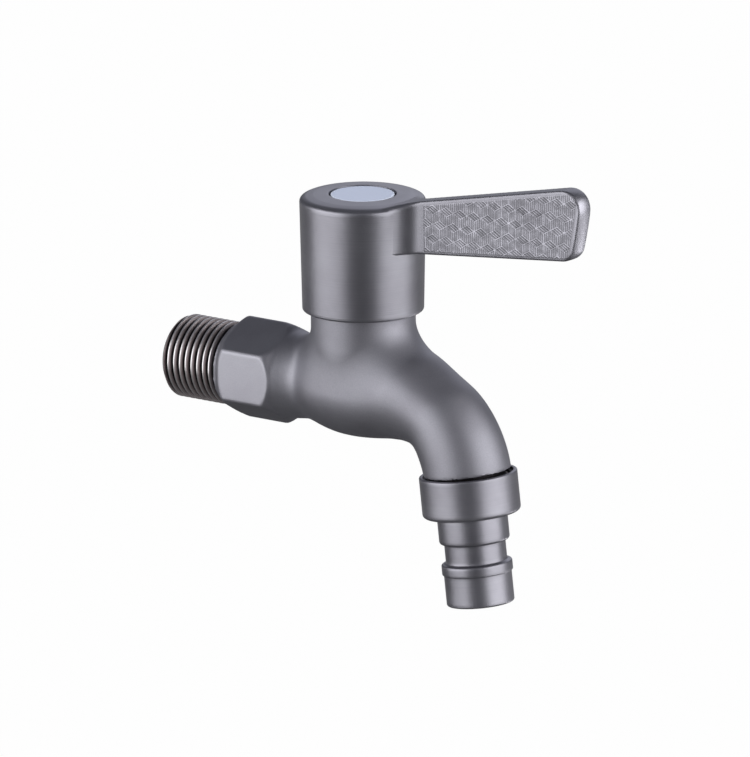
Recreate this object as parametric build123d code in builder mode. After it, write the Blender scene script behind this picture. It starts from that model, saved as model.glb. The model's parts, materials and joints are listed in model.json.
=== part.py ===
"""Washing machine tap with a quarter-turn ceramic headpart, a lever handle and a hose nozzle.

The origin is on the inlet's axis, at the shoulder where the inlet thread meets the hexagon.
+X runs from the wall to the spout, +Z is up, and the lever lies over the spout when the tap is shut.
All sizes are in millimetres.
"""
import os
from math import cos, pi, radians, sin, tan

from build123d import *

os.makedirs("parts", exist_ok=True)

# Pipe thread of half an inch, used at the inlet, in the neck and at the outlet
pipe_radius = 20.955 / 2
pipe_pitch = 1.814
thread_gap = 0.04
thread_chamfer = 1.2
outlet_chamfer = 0.6

# Inlet, hexagon and waist of the body
inlet_length = 16.4
inlet_bore_radius = 7.0
hex_flats = 22.7
hex_collar_length = 0.7
hex_cone_length = 3.2
hex_length = 11.4
hex_shoulder_length = 2.8
hex_shoulder_radius = 11.35
waist_offset = 15.0
waist_radius = 10.4
valve_x = 39.5

# Valve chamber and neck
chamber_step = 0.7475
chamber_flare = 2.5
neck_wall = 2.57
neck_top = 24.0
neck_round_z = 0.5
neck_blend = 5.0
inlet_bore_stop = 13.5
seat_z = 2.0
seat_bore_radius = 5.0
seat_lip_height = 0.4
seat_lip_width = 1.8
chamber_bore_step = 0.58
low_duct_radius = 4.0
low_duct_z = -4.5
low_duct_back = 18.0

# Spout: two bends after a straight run, a slight waist, and a threaded outlet
spout_straight = 13.6
first_bend_radius = 18.2
first_bend_angle = 57.0
second_bend_radius = 22.0
second_bend_angle = 26.4
spout_waist_radius = 10.35
spout_waist_share = 0.56
outlet_shoulder = 0.37
saddle_height = 1.5
saddle_share = 0.34
saddle_reach = 0.26
elbow_fill = 0.5
elbow_share = 0.74
elbow_reach = 0.26
spout_bore_start = 5.6
spout_bore_end = 7.2
spout_bore_x = 7.6
spout_bore_z = 3.0

# Union nut, gasket and hose nozzle, measured along the spout's axis from its shoulder
nut_wall = 1.8
nut_length = 10.3
nut_overlap = 0.6
nut_lip = 1.5
nut_mouth_gap = 0.4
nut_mouth_depth = 0.9
nut_top_rounding = 0.4
nut_rounding = 0.9
journal_gap = 0.07
gasket_thickness = 1.4
gasket_margin = 1.2
nozzle_bore_radius = 5.6
nozzle_flange = 1.5
step_radius = 8.8
step_length = 6.95
groove_radius = 7.65
groove_length = 4.9
ridge_radius = 8.85
ridge_length = 3.4
ridge_rounding = 0.9
ridge_foot_rounding = 0.3
step_rounding = 0.8
tail_radius = 8.45
tail_length = 7.4
edge_break = 0.5

# Headpart
collar_gasket_thickness = 1.2
collar_corner_gap = 0.9
collar_height = 5.0
housing_top_radius = 7.0
housing_top_height = 3.0
housing_thread_length = 9.0
thread_runout = 0.6
collar_neck_step = 1.28
sleeve_gap = 0.8
sleeve_wall = 1.3
sleeve_foot_gap = 1.0
window_angle = 121.0
key_angle = 24.0
key_play = 1.0
disc_clearance = 0.3
fixed_disc_thickness = 3.2
moving_disc_thickness = 2.8
port_inner_radius = 2.4
port_wall = 1.3
port_angle = 76.0
seal_height = 2.8
seal_chamfer = 0.5
support_ring_wall = 0.8
drive_width = 3.0
drive_depth = 1.2
drive_play = 0.05

# Spindle
flange_height = 2.8
ear_angle = 30.0
ear_gap = 0.2
stem_radius = 4.8
running_gap = 0.05
seal_ring_radius = 0.9
seal_gap = 0.03
seal_ring_spacing = 4.0
thrust_washer_height = 0.8
clip_thickness = 0.8
clip_rim = 1.4
clip_groove_depth = 0.8
clip_mouth_angle = 70.0
spline_teeth = 20
spline_step = 0.8
spline_depth = 0.45
spline_length = 7.5
spline_gap = 0.03

# Handle: hub, lever and the screw that holds them
hub_bottom_z = 20.1
hub_wall = 1.55
hub_flare = 0.6
hub_rim_z = 48.9
hub_dome = 0.6
hub_top_rounding = 1.8
hub_bottom_rounding = 0.5
hub_gap = 0.55
cavity_roof = 1.2
insert_wall = 2.6
insert_flat_depth = 0.7
boss_wall = 1.7
web_thickness = 2.0
lever_thickness = 5.0
lever_top_rise = 11.7
lever_bottom_rise = 5.95
lever_top_at_hub = 50.3
lever_bottom_at_hub = 36.9
lever_reach = 70.4
lever_tip_lean = 11.5
lever_tip_bulge = 0.5
lever_top_corner = 4.8
lever_bottom_corner = 3.3
lever_edge = 0.8
lever_root_blend = 4.5
screw_radius = 2.0
screw_length = 12.0
screw_head_radius = 3.5
screw_head_height = 2.4
screw_head_rounding = 0.8
screw_slot = 1.0
screw_clearance = 0.2
screw_tip_gap = 1.0
washer_split = 0.5
spring_washer_thickness = 1.0
washer_margin = 0.2
cap_radius = 7.95
cap_gap = 0.03
cap_thickness = 1.4
cap_skirt = 2.0
cap_sink = 0.1
cap_rounding = 0.2
cap_wall = 1.0
cap_rim_gap = 0.5
cap_rim_depth = 0.8

# Radii that follow the pipe thread, the stem and the screw
neck_radius = pipe_radius + neck_wall
chamber_radius = neck_radius - chamber_step
chamber_bore_radius = pipe_radius - chamber_bore_step
outlet_radius = pipe_radius + outlet_shoulder
nut_radius = pipe_radius + nut_wall
nut_mouth_radius = outlet_radius + nut_mouth_gap
gasket_radius = pipe_radius - gasket_margin
collar_neck_radius = pipe_radius - collar_neck_step
sleeve_radius = chamber_bore_radius - sleeve_gap
hub_cavity_radius = neck_radius + hub_gap
hub_bottom_radius = hub_cavity_radius + hub_wall
hub_top_radius = hub_bottom_radius + hub_flare
collar_flats = 2 * (hub_cavity_radius - collar_corner_gap) * cos(pi / 6)
spline_radius = stem_radius - spline_step
insert_radius = spline_radius + insert_wall
insert_flat = insert_radius - insert_flat_depth
clip_radius = stem_radius + clip_rim
spring_washer_radius = screw_head_radius + washer_margin

# Heights in the valve, worked out upwards from the seat
sleeve_foot = seat_z + sleeve_foot_gap
fixed_disc_z = seat_z + seal_height
moving_disc_z = fixed_disc_z + fixed_disc_thickness
flange_z = moving_disc_z + moving_disc_thickness
flange_top = flange_z + flange_height
sleeve_roof = flange_top + thrust_washer_height
collar_z = neck_top + collar_gasket_thickness
housing_top = collar_z + collar_height + housing_top_height
clip_z = housing_top + 0.1
spline_z = clip_z + clip_thickness + 0.4
stem_top = spline_z + spline_length
cavity_top = clip_z + clip_thickness + cavity_roof
insert_top = stem_top + 0.3
web_top = insert_top + web_thickness
sleeve_bore_radius = sleeve_radius - sleeve_wall
disc_radius = sleeve_bore_radius - disc_clearance
stem_bore_radius = stem_radius + running_gap
valve_axis = Axis((valve_x, 0, 0), (0, 0, 1))
hex_corner_radius = hex_flats / 2 / cos(pi / 6)
hex_start = hex_collar_length + hex_cone_length
hex_end = hex_start + hex_length
hub_top_z = hub_rim_z + hub_dome
cap_top = hub_top_z - cap_sink
cap_floor = cap_top - cap_thickness - cap_skirt
screw_head_z = web_top + spring_washer_thickness
screw_tip_z = stem_top - screw_length + screw_tip_gap
clip_root_radius = stem_radius - clip_groove_depth
seal_root_radius = stem_bore_radius - 2 * seal_ring_radius - seal_gap
seal_groove_width = 2 * seal_ring_radius + 4 * running_gap
seal_middle = (sleeve_roof + collar_z) / 2
seal_heights = (seal_middle - seal_ring_spacing / 2, seal_middle + seal_ring_spacing / 2)

# Places along the spout's axis, worked out upwards from the nut's lower face
nut_end = nut_length - nut_overlap
lip_s = nut_end - nut_lip
flange_s = lip_s - nozzle_flange
gasket_s = flange_s - gasket_thickness
outlet_thread_length = gasket_s
groove_s = nut_end + step_length
ridge_s = groove_s + groove_length
tail_s = ridge_s + ridge_length

# Corners of the lever's side view
lever_start_x = valve_x + cap_radius
hub_side_x = valve_x + hub_top_radius


def lever_edge_z(x, height_at_hub, rise):
    """Height of the lever's upper or lower edge at this X."""
    return height_at_hub + (x - hub_side_x) * tan(radians(rise))


lever_tip_z = lever_edge_z(valve_x + lever_reach, lever_top_at_hub, lever_top_rise)
lean = tan(radians(lever_tip_lean))
lever_tip_x = valve_x + lever_reach
lever_tip_top = (lever_tip_x, lever_tip_z)
lever_foot_z = lever_edge_z(lever_tip_x, lever_bottom_at_hub, lever_bottom_rise)
lever_tip_bottom = (lever_tip_x - lean * (lever_tip_z - lever_foot_z), lever_foot_z)
lever_tip_middle = (
    (lever_tip_top[0] + lever_tip_bottom[0]) / 2 + lever_tip_bulge,
    (lever_tip_top[1] + lever_tip_bottom[1]) / 2,
)
lever_start_top = (lever_start_x, lever_edge_z(lever_start_x, lever_top_at_hub, lever_top_rise))
lever_start_bottom = (
    lever_start_x,
    lever_edge_z(lever_start_x, lever_bottom_at_hub, lever_bottom_rise),
)


def on_lever_side(edge):
    """True for an edge that bounds the front or the back of the lever, outside the hub."""
    return abs(edge.center().Y) > lever_thickness / 4 and edge.center().X > valve_x + hub_bottom_radius


def rims(part, radius):
    """The circular edges of this radius on a part."""
    circles = part.edges().filter_by(GeomType.CIRCLE)
    return circles.filter_by(lambda edge: abs(edge.radius - radius) < 1e-4)


def toothed_circle(radius, mode=Mode.ADD):
    """A circle of this radius with sharp grooves between the spline's teeth."""
    step = 2 * pi / spline_teeth
    points = []
    for i in range(spline_teeth):
        points.append((radius * cos(i * step), radius * sin(i * step)))
        root = radius - spline_depth
        points.append((root * cos((i + 0.5) * step), root * sin((i + 0.5) * step)))
    return Polygon(*points, align=None, mode=mode)


def insert_outline(radius, flat, mode=Mode.ADD):
    """A circle with a flat on each side, which stops the insert turning in the handle."""
    circle = Circle(radius, mode=Mode.PRIVATE)
    return add(circle & Rectangle(2 * radius, 2 * flat, mode=Mode.PRIVATE), mode=mode)


def valve_plane(height):
    """A level plane at this height, with its origin on the valve's axis."""
    return Plane((valve_x, 0, height))


def sector(radius, angle):
    """A pie slice of this radius, centred on the sketch's +X."""
    with BuildSketch(mode=Mode.PRIVATE) as slice_face:
        with BuildLine():
            half = radians(angle / 2)
            tip = (radius * cos(half), radius * sin(half))
            foot = (radius * cos(half), -radius * sin(half))
            Line((0, 0), foot)
            ThreePointArc(foot, (radius, 0), tip)
            Line(tip, (0, 0))
        make_face()
    return slice_face.sketch


# Centreline of the spout, from the valve's axis to the shoulder above the outlet thread
with BuildLine(Plane.XZ) as spout_path:
    run = Line((valve_x, 0), (valve_x + spout_straight, 0))
    bend = JernArc(run @ 1, run % 1, first_bend_radius, -first_bend_angle)
    JernArc(bend @ 1, bend % 1, second_bend_radius, -second_bend_angle)
spout_wire = spout_path.wires()[0]
outlet_point = spout_wire @ 1
outlet_direction = spout_wire % 1
outlet_tilt = 90 - first_bend_angle - second_bend_angle
outlet_axis = Axis(outlet_point, outlet_direction)
outlet_side = Plane(
    origin=outlet_point,
    x_dir=(cos(radians(outlet_tilt)), 0, sin(radians(outlet_tilt))),
    z_dir=(0, 1, 0),
)


def spout_radius(share):
    """Outer radius of the spout at this share of its centreline: narrow at the middle of the bend."""
    if share < spout_waist_share:
        start, end, t = chamber_radius, spout_waist_radius, share / spout_waist_share
    else:
        start, end = spout_waist_radius, outlet_radius
        t = (share - spout_waist_share) / (1 - spout_waist_share)
    return start + (end - start) * (1 - cos(pi * t)) / 2


def swell(share, height, middle, reach):
    """Smooth rise of this height at one share of the spout's centreline, gone at this reach from it."""
    t = min(1, abs(share - middle) / reach)
    return height * (1 + cos(pi * t)) / 2


# Body casting
with BuildPart() as tap_body:
    with BuildSketch(Plane.XZ):
        with BuildLine():
            Polyline(
                (valve_x, 0),
                (-inlet_length, 0),
                (-inlet_length, pipe_radius - thread_chamfer),
                (thread_chamfer - inlet_length, pipe_radius),
                (hex_collar_length, pipe_radius),
                (hex_start, hex_corner_radius),
                (hex_end, hex_corner_radius),
            )
            Spline(
                (hex_end, hex_corner_radius),
                (hex_end + hex_shoulder_length, hex_shoulder_radius),
                (valve_x - waist_offset, waist_radius),
                tangents=((1, 0), (1, 0)),
            )
            Spline(
                (valve_x - waist_offset, waist_radius),
                (valve_x - (waist_offset + chamber_flare) / 2, (waist_radius + chamber_radius) / 2),
                (valve_x - chamber_flare, chamber_radius),
                tangents=((1, 0), (1, 0)),
            )
            Polyline((valve_x - chamber_flare, chamber_radius), (valve_x, chamber_radius), (valve_x, 0))
        make_face()
    revolve(axis=Axis.X)
    with BuildSketch(Plane.YZ):
        Circle(hex_corner_radius + 1)
        RegularPolygon(hex_flats / 2, 6, major_radius=False, rotation=30, mode=Mode.SUBTRACT)
    extrude(amount=hex_end + 1.6 * hex_shoulder_length, mode=Mode.SUBTRACT)
    for i in range(11):
        share = i / 10
        upper = swell(share, saddle_height, saddle_share, saddle_reach)
        lower = swell(share, elbow_fill, elbow_share, elbow_reach)
        radius = spout_radius(share)
        with BuildSketch(Plane(spout_wire @ share, x_dir=(0, 1, 0), z_dir=spout_wire % share)):
            with Locations((0, (upper - lower) / 2)):
                Ellipse(radius, radius + (upper + lower) / 2 + 0.001)
    loft()
    with BuildSketch(Plane.XZ):
        with BuildLine():
            Polyline(
                (valve_x, neck_round_z - neck_radius),
                (valve_x, neck_top),
                (valve_x + neck_radius, neck_top),
                (valve_x + neck_radius, neck_round_z),
            )
            RadiusArc(
                (valve_x + neck_radius, neck_round_z),
                (valve_x, neck_round_z - neck_radius),
                neck_radius,
            )
        make_face()
    revolve(axis=valve_axis)
    fillet(tap_body.edges(Select.NEW), neck_blend)
    outlet_plane = Plane(outlet_point, z_dir=outlet_direction)
    with BuildSketch(outlet_plane):
        Circle(pipe_radius)
    extrude(amount=outlet_thread_length)
    chamfer(rims(tap_body, pipe_radius).sort_by(outlet_axis)[-1], outlet_chamfer)
    # Water way: inlet bore, duct under the seat, valve chamber and duct down the spout
    with BuildSketch(Plane.YZ.offset(-inlet_length)):
        Circle(inlet_bore_radius)
    extrude(amount=inlet_length + valve_x - inlet_bore_stop, mode=Mode.SUBTRACT)
    with BuildSketch(Plane.YZ.offset(valve_x - low_duct_back)):
        with Locations((0, low_duct_z)):
            Circle(low_duct_radius)
    extrude(amount=low_duct_back, mode=Mode.SUBTRACT)
    with Locations((valve_x, 0, low_duct_z)):
        Sphere(seat_bore_radius, mode=Mode.SUBTRACT)
    with BuildSketch(valve_plane(low_duct_z)):
        Circle(seat_bore_radius)
    extrude(amount=seat_z - low_duct_z, mode=Mode.SUBTRACT)
    with BuildSketch(valve_plane(seat_z - seat_lip_height)):
        Circle(chamber_bore_radius)
        Circle(seat_bore_radius + seat_lip_width, mode=Mode.SUBTRACT)
    extrude(amount=seat_lip_height, mode=Mode.SUBTRACT)
    with BuildSketch(valve_plane(seat_z)):
        Circle(chamber_bore_radius)
    extrude(amount=neck_top - seat_z, mode=Mode.SUBTRACT)
    with BuildSketch(valve_plane(neck_top)):
        Circle(pipe_radius)
    extrude(amount=-housing_thread_length - thread_runout, mode=Mode.SUBTRACT)
    with BuildSketch(Plane((valve_x + spout_bore_x, 0, spout_bore_z), z_dir=(1, 0, 0))):
        Circle(spout_bore_start)
    for share in (0.46, 0.6, 0.75, 0.88, 1):
        with BuildSketch(Plane(spout_wire @ share, z_dir=spout_wire % share)):
            Circle(spout_bore_start + (spout_bore_end - spout_bore_start) * share)
    loft(mode=Mode.SUBTRACT)
    with BuildSketch(outlet_plane):
        Circle(spout_bore_end)
    extrude(amount=outlet_thread_length, mode=Mode.SUBTRACT)

# Gasket and nozzle, on the spout's axis
with BuildPart() as nozzle_gasket:
    with BuildSketch(outlet_side):
        with Locations((nozzle_bore_radius, gasket_s)):
            Rectangle(gasket_radius - nozzle_bore_radius, gasket_thickness, align=Align.MIN)
    revolve(axis=outlet_axis)

with BuildPart() as hose_nozzle:
    with BuildSketch(outlet_side):
        with BuildLine():
            Polyline(
                (nozzle_bore_radius, flange_s),
                (gasket_radius, flange_s),
                (gasket_radius, lip_s),
                (step_radius, lip_s),
                (step_radius, groove_s),
                (groove_radius, groove_s),
                (groove_radius, ridge_s),
                (ridge_radius, ridge_s),
                (ridge_radius, tail_s),
                (tail_radius, tail_s),
                (tail_radius, tail_s + tail_length),
                (nozzle_bore_radius, tail_s + tail_length),
                close=True,
            )
        make_face()
    revolve(axis=outlet_axis)
    ridge_rims = rims(hose_nozzle, ridge_radius).sort_by(outlet_axis)
    fillet(ridge_rims[0], ridge_rounding)
    fillet(ridge_rims[-1], ridge_foot_rounding)
    fillet(rims(hose_nozzle, step_radius).sort_by(outlet_axis)[-1], step_rounding)
    fillet(rims(hose_nozzle, tail_radius).sort_by(outlet_axis)[-1], edge_break)
    chamfer(rims(hose_nozzle, nozzle_bore_radius).sort_by(outlet_axis)[-1], edge_break)

# Union nut: its lip turns on the nozzle's step and draws the flange up to the spout
with BuildPart() as hose_nut:
    nut_bore = pipe_radius + running_gap
    with BuildSketch(outlet_side):
        with BuildLine():
            Polyline(
                (nut_mouth_radius, -nut_overlap),
                (nut_radius, -nut_overlap),
                (nut_radius, nut_end),
                (step_radius + journal_gap, nut_end),
                (step_radius + journal_gap, lip_s),
                (nut_bore, lip_s),
                (nut_bore, nut_mouth_depth - nut_overlap),
                (nut_mouth_radius, nut_mouth_depth - nut_overlap),
                close=True,
            )
        make_face()
    revolve(axis=outlet_axis)
    outer_rims = rims(hose_nut, nut_radius).sort_by(outlet_axis)
    fillet(outer_rims[0], nut_top_rounding)
    fillet(outer_rims[-1], nut_rounding)

# Headpart housing: thread and hexagon collar above, sleeve with windows below
with BuildPart() as cartridge_housing:
    with BuildSketch(valve_plane(sleeve_foot)):
        Circle(sleeve_radius)
    extrude(amount=neck_top - sleeve_foot)
    with BuildSketch(valve_plane(neck_top - housing_thread_length)):
        Circle(pipe_radius - thread_gap)
    extrude(amount=housing_thread_length)
    chamfer(rims(cartridge_housing, pipe_radius - thread_gap).sort_by(Axis.Z)[0], outlet_chamfer)
    with BuildSketch(valve_plane(neck_top)):
        Circle(collar_neck_radius)
    extrude(amount=collar_gasket_thickness)
    with BuildSketch(valve_plane(collar_z)):
        RegularPolygon(collar_flats / 2, 6, major_radius=False)
    extrude(amount=collar_height)
    with BuildSketch(valve_plane(collar_z + collar_height)):
        Circle(housing_top_radius)
    extrude(amount=housing_top_height)
    chamfer(rims(cartridge_housing, housing_top_radius).sort_by(Axis.Z)[-1], edge_break)
    with BuildSketch(valve_plane(sleeve_foot)):
        Circle(sleeve_bore_radius)
    extrude(amount=sleeve_roof - sleeve_foot, mode=Mode.SUBTRACT)
    with BuildSketch(valve_plane(sleeve_roof)):
        Circle(stem_bore_radius)
    extrude(amount=housing_top - sleeve_roof, mode=Mode.SUBTRACT)
    with BuildSketch(valve_plane(moving_disc_z)):
        for side in (0, 180):
            add(sector(sleeve_radius + 1, window_angle), rotation=side)
        Circle(sleeve_bore_radius - sleeve_wall, mode=Mode.SUBTRACT)
    extrude(amount=flange_top - moving_disc_z + ear_gap, mode=Mode.SUBTRACT)
    with BuildSketch(valve_plane(sleeve_foot)):
        for side in (90, 270):
            add(sector(sleeve_radius + 1, key_angle), rotation=side)
        Circle(sleeve_bore_radius - sleeve_wall, mode=Mode.SUBTRACT)
    extrude(amount=moving_disc_z - sleeve_foot, mode=Mode.SUBTRACT)

with BuildPart() as collar_gasket:
    with BuildSketch(valve_plane(neck_top)):
        Circle(collar_flats / 2)
        Circle(collar_neck_radius, mode=Mode.SUBTRACT)
    extrude(amount=collar_gasket_thickness)

# Seat seal and the stiff ring that keeps it round
with BuildPart() as seat_seal:
    with BuildSketch(valve_plane(seat_z)):
        Circle(sleeve_bore_radius)
        Circle(seat_bore_radius + support_ring_wall, mode=Mode.SUBTRACT)
    extrude(amount=seal_height)
    chamfer(rims(seat_seal, sleeve_bore_radius).sort_by(Axis.Z)[0], seal_chamfer)

with BuildPart() as seal_support_ring:
    with BuildSketch(valve_plane(seat_z + seat_lip_height)):
        Circle(seat_bore_radius + support_ring_wall)
        Circle(seat_bore_radius, mode=Mode.SUBTRACT)
    extrude(amount=seal_height - seat_lip_height)

# Ceramic discs: two ports in the lower one, two open sectors in the upper one
with BuildPart() as fixed_disc:
    with BuildSketch(valve_plane(fixed_disc_z)):
        Circle(disc_radius)
        for side in (90, 270):
            add(sector(sleeve_radius - ear_gap, key_angle - key_play), rotation=side)
        for side in (0, 180):
            add(sector(disc_radius - port_wall, port_angle), rotation=side, mode=Mode.SUBTRACT)
        Circle(port_inner_radius)
    extrude(amount=fixed_disc_thickness)

with BuildPart() as moving_disc:
    with BuildSketch(valve_plane(moving_disc_z)):
        Circle(disc_radius)
        for side in (90, 270):
            add(sector(disc_radius + 1, port_angle), rotation=side, mode=Mode.SUBTRACT)
        Circle(port_inner_radius)
    extrude(amount=moving_disc_thickness)
    with BuildSketch(valve_plane(flange_z)):
        Rectangle(2 * disc_radius + 1, drive_width)
    extrude(amount=-drive_depth, mode=Mode.SUBTRACT)

# Spindle: drive tongue, flange with two ears that stop in the windows, stem and toothed end
with BuildPart() as spindle:
    with BuildSketch(valve_plane(flange_z)):
        Circle(disc_radius)
        for side in (-45, 135):
            add(sector(sleeve_radius - ear_gap, ear_angle), rotation=side)
    extrude(amount=flange_height)
    with BuildSketch(valve_plane(flange_z)):
        Rectangle(2 * (disc_radius - 1), drive_width - 2 * drive_play)
    extrude(amount=drive_play - drive_depth)
    with BuildSketch(valve_plane(flange_top)):
        Circle(stem_radius)
    extrude(amount=spline_z - flange_top)
    with BuildSketch(valve_plane(spline_z)):
        toothed_circle(spline_radius)
    extrude(amount=spline_length)
    for height in seal_heights:
        with BuildSketch(valve_plane(height - seal_groove_width / 2)):
            Circle(stem_radius)
            Circle(seal_root_radius, mode=Mode.SUBTRACT)
        extrude(amount=seal_groove_width, mode=Mode.SUBTRACT)
    with BuildSketch(valve_plane(clip_z)):
        Circle(stem_radius)
        Circle(clip_root_radius, mode=Mode.SUBTRACT)
    extrude(amount=clip_thickness, mode=Mode.SUBTRACT)
    with BuildSketch(valve_plane(stem_top)):
        Circle(screw_radius + thread_gap)
    extrude(amount=-screw_length, mode=Mode.SUBTRACT)


def stem_seal(height):
    """A round rubber ring in the spindle's groove at this height."""
    with BuildPart() as ring:
        with BuildSketch(Plane.XZ):
            with Locations((valve_x + seal_root_radius + seal_ring_radius, height)):
                Circle(seal_ring_radius)
        revolve(axis=valve_axis)
    return ring


spindle_oring_lower = stem_seal(seal_heights[0])
spindle_oring_upper = stem_seal(seal_heights[1])

with BuildPart() as thrust_washer:
    with BuildSketch(valve_plane(flange_top)):
        Circle(disc_radius)
        Circle(stem_radius + thread_gap, mode=Mode.SUBTRACT)
    extrude(amount=thrust_washer_height)

with BuildPart() as spindle_clip:
    with BuildSketch(valve_plane(clip_z)):
        Circle(clip_radius)
        add(sector(clip_radius + 1, clip_mouth_angle), rotation=180, mode=Mode.SUBTRACT)
        Circle(clip_root_radius, mode=Mode.SUBTRACT)
    extrude(amount=clip_thickness)

# Handle: lever cut from its plan and its side view, then the hub and what is bored into it
with BuildPart() as handle:
    with BuildSketch(Plane.XZ):
        with BuildLine():
            Polyline(lever_start_top, lever_tip_top)
            ThreePointArc(lever_tip_top, lever_tip_middle, lever_tip_bottom)
            Polyline(lever_tip_bottom, lever_start_bottom, lever_start_top)
        make_face()
    extrude(amount=hub_top_radius, both=True)
    tip_edges = handle.edges().filter_by(Axis.Y).sort_by(Axis.X)[-2:].sort_by(Axis.Z)
    fillet(tip_edges[0], lever_bottom_corner)
    fillet(tip_edges[1], lever_top_corner)
    with BuildSketch(Plane.XY) as lever_plan:
        with Locations((valve_x, 0)):
            Circle(hub_bottom_radius)
            Rectangle(2 * lever_reach, lever_thickness, align=(Align.MIN, Align.CENTER))
        root = lever_plan.vertices().filter_by(lambda v: valve_x < v.X < valve_x + hub_top_radius)
        fillet(root.filter_by(lambda v: abs(v.Y) > lever_thickness / 4), lever_root_blend)
    extrude(amount=2 * hub_rim_z, mode=Mode.INTERSECT)
    long_edges = handle.edges().filter_by(lambda e: on_lever_side(e))
    fillet(long_edges, lever_edge)
    with BuildSketch(Plane.XZ) as hub_profile:
        with BuildLine():
            Polyline(
                (valve_x, hub_top_z),
                (valve_x, hub_bottom_z),
                (valve_x + hub_bottom_radius, hub_bottom_z),
                (valve_x + hub_top_radius, hub_rim_z),
            )
            ThreePointArc(
                (valve_x + hub_top_radius, hub_rim_z),
                (valve_x + hub_top_radius / 2, hub_top_z - hub_dome / 4),
                (valve_x, hub_top_z),
            )
        make_face()
        fillet(hub_profile.vertices().group_by(Axis.Y)[0].sort_by(Axis.X)[-1], hub_bottom_rounding)
        fillet(hub_profile.vertices().group_by(Axis.Y)[-2].sort_by(Axis.X)[-1], hub_top_rounding)
    revolve(axis=valve_axis)
    with BuildSketch(valve_plane(hub_bottom_z)):
        Circle(hub_cavity_radius)
    extrude(amount=insert_top - hub_bottom_z, mode=Mode.SUBTRACT)
    with BuildSketch(valve_plane(cavity_top)):
        Circle(insert_radius + boss_wall)
    extrude(amount=insert_top - cavity_top)
    with BuildSketch(valve_plane(cavity_top)):
        insert_outline(insert_radius, insert_flat)
    extrude(amount=insert_top - cavity_top, mode=Mode.SUBTRACT)
    with BuildSketch(valve_plane(insert_top)):
        Circle(screw_radius + screw_clearance)
    extrude(amount=web_thickness, mode=Mode.SUBTRACT)
    with BuildSketch(valve_plane(web_top)):
        Circle(spring_washer_radius + screw_clearance)
    extrude(amount=hub_top_z - web_top, mode=Mode.SUBTRACT)
    with BuildSketch(valve_plane(cap_floor)):
        Circle(cap_radius + cap_gap)
    extrude(amount=hub_top_z - cap_floor, mode=Mode.SUBTRACT)
    with BuildSketch(valve_plane(hub_top_z)):
        Circle(cap_radius + cap_rim_gap)
    extrude(amount=-cap_rim_depth, mode=Mode.SUBTRACT)

with BuildPart() as spline_insert:
    with BuildSketch(valve_plane(cavity_top)):
        insert_outline(insert_radius - spline_gap, insert_flat - spline_gap)
        toothed_circle(spline_radius + spline_gap, mode=Mode.SUBTRACT)
    extrude(amount=insert_top - cavity_top)

with BuildPart() as screw_washer:
    with BuildSketch(valve_plane(web_top)):
        Circle(spring_washer_radius)
        Circle(screw_radius + spline_gap, mode=Mode.SUBTRACT)
        with Locations((spring_washer_radius, 0)):
            Rectangle(2 * spring_washer_radius, washer_split, mode=Mode.SUBTRACT)
    extrude(amount=spring_washer_thickness)

with BuildPart() as handle_screw:
    with BuildSketch(valve_plane(screw_head_z)):
        Circle(screw_head_radius)
    extrude(amount=screw_head_height)
    fillet(handle_screw.faces().sort_by(Axis.Z)[-1].edges(), screw_head_rounding)
    with BuildSketch(valve_plane(screw_head_z)):
        Circle(screw_radius)
    extrude(amount=screw_tip_z - screw_head_z)
    with BuildSketch(valve_plane(screw_head_z + screw_head_height)):
        Rectangle(1.1 * screw_head_radius, screw_slot)
        Rectangle(screw_slot, 1.1 * screw_head_radius)
    extrude(amount=-screw_head_height / 2, mode=Mode.SUBTRACT)

# Index cap: a plain disc with a skirt that snaps into the hub
with BuildPart() as index_cap:
    with BuildSketch(valve_plane(cap_floor)):
        Circle(cap_radius)
    extrude(amount=cap_top - cap_floor)
    with BuildSketch(valve_plane(cap_floor)):
        Circle(cap_radius - cap_wall)
    extrude(amount=cap_skirt, mode=Mode.SUBTRACT)
    fillet(rims(index_cap, cap_radius).sort_by(Axis.Z)[-1], cap_rounding)

pieces = {
    "tap_body": tap_body,
    "cartridge_housing": cartridge_housing,
    "collar_gasket": collar_gasket,
    "seat_seal": seat_seal,
    "seal_support_ring": seal_support_ring,
    "fixed_disc": fixed_disc,
    "moving_disc": moving_disc,
    "spindle": spindle,
    "thrust_washer": thrust_washer,
    "spindle_oring_lower": spindle_oring_lower,
    "spindle_oring_upper": spindle_oring_upper,
    "spindle_clip": spindle_clip,
    "spline_insert": spline_insert,
    "handle": handle,
    "screw_washer": screw_washer,
    "handle_screw": handle_screw,
    "index_cap": index_cap,
    "hose_nut": hose_nut,
    "hose_nozzle": hose_nozzle,
    "nozzle_gasket": nozzle_gasket,
}
for name, piece in pieces.items():
    piece.part.label = name
    export_step(piece.part, f"parts/{name}.step")
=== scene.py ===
"""Washing machine tap in satin gunmetal: cast body, lever handle, union nut and hose nozzle.

Lengths are in millimetres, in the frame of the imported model, up to the mesh or the shader.
"""
import json
from itertools import product
from math import cos, pi, radians, sin, tan
import bpy
import numpy as np
from mathutils import Matrix, Vector


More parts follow.
